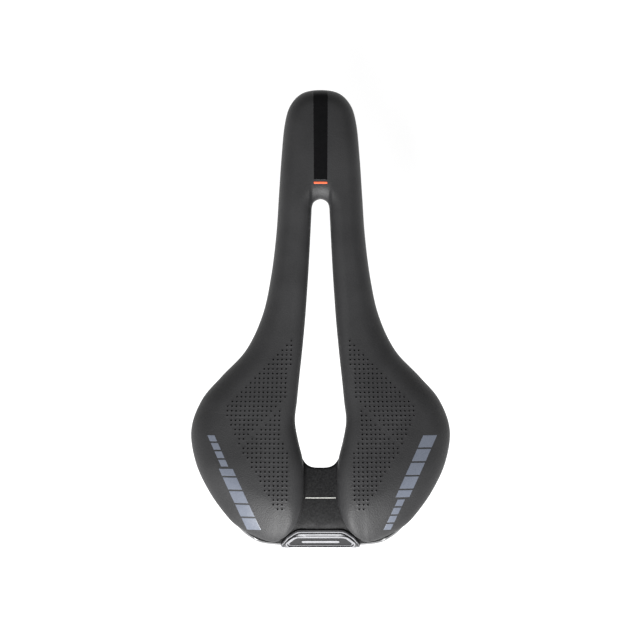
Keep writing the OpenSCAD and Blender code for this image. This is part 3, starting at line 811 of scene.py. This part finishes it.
def film(name, rows, material, thick, on_seat=True, sink=0.12):
    """A thin raised strip over rows of plan points, with softened edges."""
    rows = np.asarray(rows, dtype=float)
    n, m = rows.shape[:2]
    flat = rows.reshape(-1, 2)
    look = np.column_stack([np.abs(flat[:, 0]), flat[:, 1]])
    if on_seat:
        z, normal = seat_z(look), seat_normal(look)
        normal[:, 0] *= np.where(flat[:, 0] < 0, -1, 1)
    else:
        z = shell_top(*flat.T)
        normal = np.tile([0.0, 0.0, 1.0], (len(flat), 1))
    base = np.column_stack([flat, z]).reshape(n, m, 3)
    normal = normal.reshape(n, m, 3)
    # the outermost points are pulled down to the sides
    high = np.full((n, m), 0.45 * thick)
    high[1:-1, 1:-1] = thick
    top = base + normal * high[..., None]
    low = base - normal * sink
    verts = np.vstack([top.reshape(-1, 3), low.reshape(-1, 3)])
    faces = grid_faces(n, m, flip=True)
    faces += [[v + n * m for v in f[::-1]] for f in faces]
    ids = np.arange(n * m).reshape(n, m)
    rim = [*ids[:, 0], *ids[-1, 1:], *ids[-2::-1, -1], *ids[0, -2:0:-1]]
    faces += [[a, b, b + n * m, a + n * m] for a, b in zip(rim, rim[1:] + rim[:1])]
    obj = new_object(name, verts, faces, [material], smooth_angle=60)
    clean(obj.data, outward=True)
    return obj


def edged(a, b, n, soft):
    """n + 4 positions from a to b, close together at each end for a softened edge."""
    return np.concatenate([[a, a + soft], np.linspace(a + 2 * soft, b - 2 * soft, n), [b - soft, b]])


# ---- badge ----

BADGE_W, BADGE_TOP_W, BADGE_H = 44.0, 32.0, 15.2
PANEL_W, PANEL_TOP_W, PANEL_LOW, PANEL_H = 36.4, 32.0, 2.6, 8.8
BADGE_CLEAR = 0.8           # keeps the flat badge clear of the bend above the slope
# Radii of the badge's lower corners, bowed sides and upper corners, and where the sides bow.
CORNER_R, WAIST_R, SHOULDER_R = 1.2, 5.0, 5.5
WAIST_IN, WAIST_V = 2.8, 6.2
PANEL_LOW_R, PANEL_HIGH_R = 2.4, 4.2
BAR_HALF, BAR_V, BAR_R = 9.5, 7.0, 0.95         # the plain bar in the middle of the panel
BADGE_TOP = np.array([0.0, TAIL_Y - BADGE_CLEAR,
                      float(shell_top(0.0, TAIL_Y - BADGE_CLEAR)) + BADGE_CLEAR])
UP_SLOPE = np.array([0.0, math.cos(TAIL_SLOPE), math.sin(TAIL_SLOPE)])
OFF_SLOPE = np.array([0.0, -math.sin(TAIL_SLOPE), math.cos(TAIL_SLOPE)])
BADGE_MID = np.array([0.0, 7.0])
BADGE_SIDES = 200


def badge_loop(outline):
    """The outline's points in fixed directions from the badge's middle, so that loops match."""
    out = []
    a, b = outline, np.roll(outline, -1, axis=0)
    for t in np.arange(BADGE_SIDES) * 2 * math.pi / BADGE_SIDES:
        d = np.array([math.cos(t) * BADGE_W / 2, math.sin(t) * BADGE_H / 2])
        e = b - a
        w = a - BADGE_MID
        cross = d[0] * e[:, 1] - d[1] * e[:, 0]
        cross = np.where(np.abs(cross) < 1e-12, 1e-12, cross)
        far = (w[:, 0] * e[:, 1] - w[:, 1] * e[:, 0]) / cross
        at = (w[:, 0] * d[1] - w[:, 1] * d[0]) / cross
        ok = (at >= -1e-9) & (at <= 1 + 1e-9) & (far > 0)
        out.append(BADGE_MID + d * far[ok].min())
    return np.array(out)


def badge_shape(*circles):
    """The convex loop round circles of (x, v, radius) and their mirror images."""
    points = [Vector((s * x + r * math.cos(t), v + r * math.sin(t))) for s in (-1, 1)
              for x, v, r in circles for t in np.arange(64) * 2 * math.pi / 64]
    return badge_loop(np.array([points[i][:] for i in convex_hull_2d(points)]))


def badge_outline(inset):
    half, top_half = BADGE_W / 2 - inset, BADGE_TOP_W / 2 - inset * 0.6
    return badge_shape((half - CORNER_R, inset + CORNER_R, CORNER_R),
                       (half - WAIST_R - WAIST_IN, WAIST_V, WAIST_R - inset * 0.2),
                       (top_half - SHOULDER_R, BADGE_H - inset - SHOULDER_R, SHOULDER_R))


def panel_outline(grow):
    top = PANEL_LOW + PANEL_H
    return badge_shape((PANEL_W / 2 - PANEL_LOW_R, PANEL_LOW + PANEL_LOW_R, PANEL_LOW_R + grow),
                       (PANEL_TOP_W / 2 - PANEL_HIGH_R, top - PANEL_HIGH_R, PANEL_HIGH_R + grow))


def bar_outline(grow):
    return badge_shape((BAR_HALF, BAR_V, BAR_R + grow))


def badge_piece(name, layers, materials, closed=False):
    """Stacks loops of (outline, height, material of the band above it) on the tail's slope."""
    rings = np.array([BADGE_TOP + np.outer(o[:, 0], [1, 0, 0]) + np.outer(o[:, 1] - BADGE_H, UP_SLOPE)
                      + OFF_SLOPE * h for o, h, _ in layers])
    n, m = rings.shape[:2]
    faces = grid_faces(n, m, closed_n=closed, closed_m=True)
    kinds = [layers[f // m][2] for f in range(len(faces))]
    if not closed:
        faces += end_caps(n, m)
        kinds += [layers[0][2], layers[-1][2]]
    return new_object(name, rings.reshape(-1, 3), faces, materials, kinds, smooth_angle=28)


# ---- materials ----

class Nodes:
    """A short way to write a material's nodes."""

    def __init__(self, name, **settings):
        self.material = bpy.data.materials.new(name)
        self.material.use_nodes = True
        self.tree = self.material.node_tree
        self.bsdf = self.tree.nodes["Principled BSDF"]
        for key, value in settings.items():
            self.bsdf.inputs[key.replace("_", " ")].default_value = value

    def add(self, kind, settings=None, **inputs):
        node = self.tree.nodes.new(kind)
        for key, value in (settings or {}).items():
            setattr(node, key, value)
        for key, value in inputs.items():
            self.set(node.inputs[key.replace("_", " ")], value)
        return node

    def set(self, socket, value):
        if isinstance(value, bpy.types.NodeSocket):
            self.tree.links.new(value, socket)
        else:
            socket.default_value = value

    def coords(self):
        return self.add("ShaderNodeTexCoord").outputs["Object"]

    def noise(self, scale, detail=3.0, roughness=0.5, vector=None):
        return self.add("ShaderNodeTexNoise", Scale=scale, Detail=detail, Roughness=roughness,
                        Vector=vector or self.coords()).outputs["Fac"]

    def cells(self, scale):
        return self.add("ShaderNodeTexVoronoi", Scale=scale, Vector=self.coords()).outputs["Distance"]

    def span(self, value, a, b, c, d):
        """value from a..b becomes c..d."""
        return self.add("ShaderNodeMapRange", Value=value, From_Min=a, From_Max=b, To_Min=c,
                        To_Max=d).outputs["Result"]

    def colours(self, fac, low, high, low_at=0.3, high_at=0.7):
        n = self.add("ShaderNodeValToRGB", Fac=fac)
        for stop, at, colour in zip(n.color_ramp.elements, (low_at, high_at), (low, high)):
            stop.position, stop.color = at, (*colour, 1)
        return n.outputs["Color"]

    def blend(self, fac, a, b):
        return self.add("ShaderNodeMix", {"data_type": "RGBA"}, Factor=fac, A=a, B=b).outputs["Result"]

    def bump(self, height, distance, strength=1.0, **under):
        return self.add("ShaderNodeBump", Strength=strength, Distance=distance, Height=height,
                        **under).outputs["Normal"]

    def link(self, key, value):
        self.set(self.bsdf.inputs[key], value)


def tint(*levels):
    """sRGB levels 0..255 as a linear colour."""
    shares = [v / 255 for v in levels]
    return tuple(c / 12.92 if c <= 0.04045 else ((c + 0.055) / 1.055) ** 2.4 for c in shares)


def microfibre():
    n = Nodes("microfibre_cover", Specular_IOR_Level=0.3, Sheen_Weight=0.01, Sheen_Roughness=0.4)
    nap = n.noise(2600, 3, 0.6)
    grain = n.cells(1500)
    broad = n.noise(45, 3)
    edge = n.add("ShaderNodeAttribute", {"attribute_name": "edge"}).outputs["Fac"]
    base = n.colours(nap, tint(26, 26, 27), tint(42, 42, 43), 0.25, 0.75)
    base = n.blend(n.span(broad, 0.35, 0.65, 0, 0.3), base, (*tint(54, 54, 55), 1))
    wear = n.span(n.noise(300, 4), 0.4, 0.62, 0.0, 0.12)
    base = n.blend(n.span(edge, 0, 1, 0, wear), base, (*tint(74, 74, 75), 1))
    n.link("Base Color", base)
    n.link("Roughness", n.span(nap, 0.2, 0.8, 0.46, 0.6))
    soft = n.bump(broad, 0.00012, 0.6)
    fine = n.bump(grain, 0.00013, 0.6, Normal=soft)
    n.link("Normal", n.bump(nap, 0.00009, 0.65, Normal=fine))
    return n.material


def plain_material(name, low, high, rough=(0.4, 0.55), scale=900, bump=0.00003, **settings):
    n = Nodes(name, **settings)
    fine = n.noise(scale, 4, 0.6)
    n.link("Base Color", n.colours(fine, low, high))
    n.link("Roughness", n.span(n.noise(scale * 0.15, 3), 0.3, 0.7, *rough))
    n.link("Normal", n.bump(fine, bump, 0.7))
    return n.material


def shell_plastic():
    """Fibre-filled plastic: short dark and lighter flecks in near black."""
    n = Nodes("shell_plastic", Specular_IOR_Level=0.12)
    fleck = n.cells(1100)
    speck = n.noise(900, 4, 0.65)
    base = n.colours(speck, tint(7, 7, 8), tint(29, 29, 30), 0.38, 0.66)
    base = n.blend(n.span(fleck, 0.1, 0.5, 0.35, 0), base, (*tint(44, 44, 44), 1))
    n.link("Base Color", base)
    n.link("Roughness", n.span(n.noise(160, 3), 0.3, 0.7, 0.5, 0.62))
    n.link("Normal", n.bump(speck, 0.00005, 0.55))
    return n.material


def brushed_metal(name, low, high, rough=(0.24, 0.36), along=(1, 0.03, 1), metal=1.0, **settings):
    n = Nodes(name, Metallic=metal, **settings)
    stretch = n.add("ShaderNodeMapping", Vector=n.coords(), Scale=along)
    lines = n.noise(1600, 4, 0.6, stretch.outputs["Vector"])
    n.link("Base Color", n.colours(lines, low, high))
    n.link("Roughness", n.span(n.noise(110, 4), 0.3, 0.7, *rough))
    n.link("Normal", n.bump(lines, 0.00002, 0.5))
    return n.material


MICROFIBRE = microfibre()
# Inside the perforations: near-black painted shade on the hole walls and floors, darker than the cover
# itself.
HOLE_SHADE = plain_material("perforation", tint(9, 9, 9), tint(15, 15, 15), (0.8, 0.9), Specular_IOR_Level=0.1)
FOAM = plain_material("foam", tint(118, 114, 104), tint(142, 138, 126), (0.85, 0.95), 700, 0.0001)
SHELL = shell_plastic()
# The shell's own plastic at its rear lip: glossy, with a light grey painted highlight as its colour.
SHELL_LIP_HIGHLIGHT = plain_material("shell_lip_painted_highlight", tint(84, 84, 85), tint(104, 104, 105), (0.2, 0.3), 700, 0.00001)
STRIP = plain_material("gloss_strip", tint(8, 8, 9), tint(13, 13, 14), (0.2, 0.3), 500, 0.000008,
                       Specular_IOR_Level=0.12)
ACCENT = plain_material("accent_print", tint(235, 84, 40), tint(255, 104, 58), (0.45, 0.6), 1500, 0.00002)
PRINT = plain_material("wing_print", tint(80, 85, 96), tint(98, 103, 114), (0.34, 0.44), 2200, 0.00003)
LINE = plain_material("line_print", tint(150, 150, 146), tint(176, 176, 170), (0.5, 0.6), 1800, 0.00002)
RAIL = brushed_metal("rail_metal", tint(150, 152, 156), tint(186, 188, 192))
STEEL = brushed_metal("screw_steel", tint(160, 160, 164), tint(200, 200, 204), (0.2, 0.32), (1, 1, 1))
BRASS = brushed_metal("insert_brass", tint(170, 135, 62), tint(206, 168, 90), (0.3, 0.4), (1, 1, 1))
RUBBER = plain_material("elastomer", tint(30, 30, 31), tint(44, 44, 45), (0.7, 0.85), 800, 0.00006)
FITTING = plain_material("fitting_plastic", tint(20, 20, 21), tint(34, 34, 35), (0.42, 0.6), 1200, 0.00004)
BADGE_DARK = plain_material("badge_dark", tint(20, 20, 22), tint(32, 32, 34), (0.4, 0.5), 900, 0.00001,
                            Specular_IOR_Level=0.25)
BADGE_BRIGHT = brushed_metal("badge_bright", tint(70, 70, 72), tint(92, 92, 94), (0.44, 0.54),
                             (0.04, 1, 1), metal=0.5)
# A lighter copy of the badge's silver for its rims, inner ring and bar: real silver trim, with a painted
# highlight in its lighter grey.
BADGE_RIM_HIGHLIGHT = brushed_metal("badge_rim_highlight", tint(122, 122, 125), tint(150, 150, 153), (0.3, 0.4),
                          (0.04, 1, 1), metal=0.3)

# ---- the pieces ----


def place(obj, slot, *nodes):
    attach(obj, "root")
    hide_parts(*nodes)
    return obj


cover = place(make_cover([MICROFIBRE, HOLE_SHADE]), "cover", "cover")
padding = place(make_padding(FOAM), "foam", "padding")


def shell_object():
    """The shell with its ribs and bosses. Its rear lip is glossy and painted a lighter grey than the
    shell, a painted highlight.
    """
    form = make_shell()
    ring_size = len(form[0]) // len(SHELL_OUT)
    verts, faces = joined([form] + [rib(p, h) for p, h in SHELL_RIBS]
                          + [boss(o, d, BOSS_H, INSERT_R) for o, d in socket_screw_spots()])
    kinds = [int(SHELL_OUT[f // ring_size][1] < LIP_FROM_Y and f % ring_size in LIP_RING)
             for f in range(len(form[1]))]
    kinds += [0] * (len(faces) - len(kinds))
    shell = new_object("seat_shell", verts, faces, [SHELL, SHELL_LIP_HIGHLIGHT], kinds, weld=1e-3, mirror=True,
                       smooth_angle=42)
    nose_boss = boss(*under_frame(0.0, NOSE_LOOP_Y), NOSE_BOSS_H, NOSE_INSERT_R)
    middle = new_object("nose_boss", *joined([nose_boss, rib(*MIDDLE_RIB)]), [SHELL], smooth_angle=42)
    return merged([shell, middle])


place(shell_object(), "shell", "shell")

STRIP_Y, STRIP_HALF = (92.1, 141.75), (3.65, 3.95)
DASH_Y, DASH_HALF = (89.9, 90.95), 3.6
LINE_Y, LINE_HALF = (-82.3, -81.75), 8.3


def strip_xs(y):
    """The strip gets a little narrower at its front end."""
    half = float(np.interp(y, STRIP_Y, STRIP_HALF)) - 0.5 * ease((y - 140.4) / 1.0)
    return edged(-half, half, 9, 0.16)


strip_ys = np.concatenate([edged(STRIP_Y[0], 138.0, 60, 0.16)[:-1], np.linspace(138.2, STRIP_Y[1], 24)])
place(film("nose_gloss_strip", plan_grid(strip_xs, strip_ys), STRIP, 0.16), "strip", "nose_strip")
place(film("nose_accent_dash", plan_grid(lambda y: edged(-DASH_HALF, DASH_HALF, 9, 0.12),
                                         edged(*DASH_Y, 3, 0.12)), ACCENT, 0.1),
      "accent", "accent_dash")
place(film("bridge_fine_line", plan_grid(lambda y: edged(-LINE_HALF, LINE_HALF, 17, 0.08),
                                         edged(*LINE_Y, 2, 0.08)), LINE, 0.05, on_seat=False),
      "line", "bridge_line")

# The print on each wing: plain bars along a line, as (start, end, width), from the rear.
PRINT_LOW, PRINT_HIGH = np.array([36.5, -99.5]), np.array([58.5, -51.0])
PRINT_BARS = [(0, 7.2, 7), (8.2, 15.4, 7), (16.4, 23.6, 7), (24.6, 31.8, 7), (32.8, 37, 7),
              (38.4, 42.4, 3.6), (43.4, 47.4, 3.6), (48.4, 52.4, 3.6), (53.4, 57, 3.6)]
PRINT_LENGTH = 57


def bar_rows(start, end, width, side):
    """A bar of the wing's print, whose ends are square to the centre plane. The right wing's bars
    run the other way."""
    if side > 0:
        start, end = PRINT_LENGTH - end, PRINT_LENGTH - start
    d = unit(PRINT_HIGH - PRINT_LOW)
    half = width / 2 / abs(d[1])
    us = edged(start, end, 5, 0.12)
    return np.array([[(side * (PRINT_LOW[0] + d[0] * u + x), PRINT_LOW[1] + d[1] * u)
                      for x in edged(-half, half, 6 if width > 4 else 4, 0.12)] for u in us])


for side, word in ((-1, "left"), (1, "right")):
    bars = merged([film("bar", bar_rows(*bar, side), PRINT, 0.07) for bar in PRINT_BARS])
    bars.name = "wing_bars_" + word
    place(bars, "print", "wing_print_" + word)

place(new_object("saddle_rail", *tube(rail_path(), RAIL_R), [RAIL], smooth_angle=40), "rail", "rail")

# RIM bands take the lighter silver, partly real trim and partly painted highlight; DARK bands take the
# badge's dark plastic.
RIM, DARK = 1, 0
place(badge_piece("badge_base", [(badge_outline(inset), h, kind) for inset, h, kind in (
    (0.0, -0.7, DARK), (0.0, 0.35, RIM), (0.1, 1.35, RIM), (0.3, 1.56, RIM), (0.6, 1.6, RIM),
    (0.75, 1.5, DARK), (0.85, 1.3, DARK), (1.6, 1.3, DARK))], [BADGE_DARK, BADGE_RIM_HIGHLIGHT]),
    "badge_dark", "badge_carrier")
place(badge_piece("badge_frame", [
    (panel_outline(0.15), 1.32, 0), (badge_outline(1.2), 1.32, 0), (badge_outline(1.2), 1.85, 0),
    (badge_outline(1.3), 2.0, 0), (badge_outline(1.45), 2.05, 0), (panel_outline(1.05), 2.66, 1),
    (panel_outline(0.9), 2.86, 1), (panel_outline(0.4), 2.9, 1), (panel_outline(0.2), 2.8, 0),
    (panel_outline(0.15), 2.6, 0)], [BADGE_BRIGHT, BADGE_RIM_HIGHLIGHT], closed=True), "badge_bright", "badge_bezel")
field = badge_piece("badge_field", [(panel_outline(grow), h, kind) for grow, h, kind in (
    (0.1, 1.35, DARK), (0.1, 1.9, RIM), (-0.15, 2.05, RIM), (-0.9, 2.25, DARK), (-1.05, 2.22, DARK),
    (-1.15, 2.1, DARK))], [BADGE_DARK, BADGE_RIM_HIGHLIGHT])
bar = badge_piece("badge_bar", [(bar_outline(g), h, RIM) for g, h in (
    (0, 1.9), (0, 2.3), (-0.08, 2.42), (-0.3, 2.46))], [BADGE_DARK, BADGE_RIM_HIGHLIGHT])
place(merged([field, bar]), "badge_dark", "badge_panel")

# CAD nodes whose shapes are right keep them, with softened edges and finished materials.
KEPT = {"rail_bush_left": (RUBBER, 0.2), "rail_bush_right": (RUBBER, 0.2),
        "rear_socket_left": (FITTING, 0.5), "rear_socket_right": (FITTING, 0.5),
        "socket_screws": (STEEL, 0.18), "socket_inserts": (BRASS, 0.12), "nose_cradle": (RUBBER, 0.4),
        "nose_clip": (FITTING, 0.5), "nose_washer": (STEEL, 0.15), "nose_screw": (STEEL, 0.2),
        "nose_insert": (BRASS, 0.12)}
for key, (material, width) in KEPT.items():
    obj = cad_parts[key]
    obj.data.materials.clear()
    obj.data.materials.append(material)
    weld = obj.modifiers.new("Weld", "WELD")
    weld.merge_threshold = 1e-6
    bevel = obj.modifiers.new("Bevel", "BEVEL")
    bevel.width, bevel.segments, bevel.limit_method = width * MM, 2, "ANGLE"
    bevel.angle_limit = math.radians(40)

# ---- stage, light and camera ----

WORLD_LIGHT = 0.4
FLOOR_Z, FLOOR_HALF, FLOOR_GLOW = -0.09, 3000.0, 0.77
AIM = Vector((0, 0, 0.04))

world = bpy.data.worlds.new("studio")
bpy.context.scene.world = world
world.use_nodes = True
backdrop = world.node_tree.nodes["Background"]
backdrop.inputs["Color"].default_value = (1, 1, 1, 1)
backdrop.inputs["Strength"].default_value = WORLD_LIGHT

white = Nodes("floor_white", Roughness=0.9, Specular_IOR_Level=0.1, Emission_Color=(1, 1, 1, 1),
              Emission_Strength=FLOOR_GLOW)
white.link("Base Color", white.colours(white.noise(3, 2), (0.34, 0.34, 0.34), (0.38, 0.38, 0.38)))
corners = [(x * FLOOR_HALF, y * FLOOR_HALF, 0) for x, y in ((-1, -1), (1, -1), (1, 1), (-1, 1))]
floor = new_object("floor", corners, [[0, 1, 2, 3]], [white.material])
floor.location.z = FLOOR_Z


def soft_light(name, where, size, watts):
    """A round area light that faces the seat."""
    light = bpy.data.lights.new(name, "AREA")
    light.shape, light.size, light.energy = "DISK", size, watts
    obj = bpy.data.objects.new(name, light)
    obj.location = where
    obj.rotation_euler = (AIM - Vector(where)).to_track_quat("-Z", "Y").to_euler()
    root.objects.link(obj)


soft_light("key_rear", (-0.2, -1.6, 1.05), 0.9, 95)
soft_light("top_left", (-0.75, 0.3, 1.75), 0.9, 1)

camera_data = bpy.data.cameras.new("camera")
camera = bpy.data.objects.new("camera", camera_data)
root.objects.link(camera)
bpy.context.scene.camera = camera
# The camera looks straight down at a point of the seat, and sees this width there.
LENS, SENSOR, VIEW_WIDTH = 150.0, 36.0, 0.3498
VIEW_X, VIEW_Y, VIEW_Z = -0.0003, 0.0155, 0.044
camera_data.lens, camera_data.sensor_width = LENS, SENSOR
camera.location = (VIEW_X, VIEW_Y, VIEW_Z + VIEW_WIDTH * LENS / SENSOR)
camera_data.clip_end = 20
bpy.context.scene.view_settings.view_transform = "Standard"
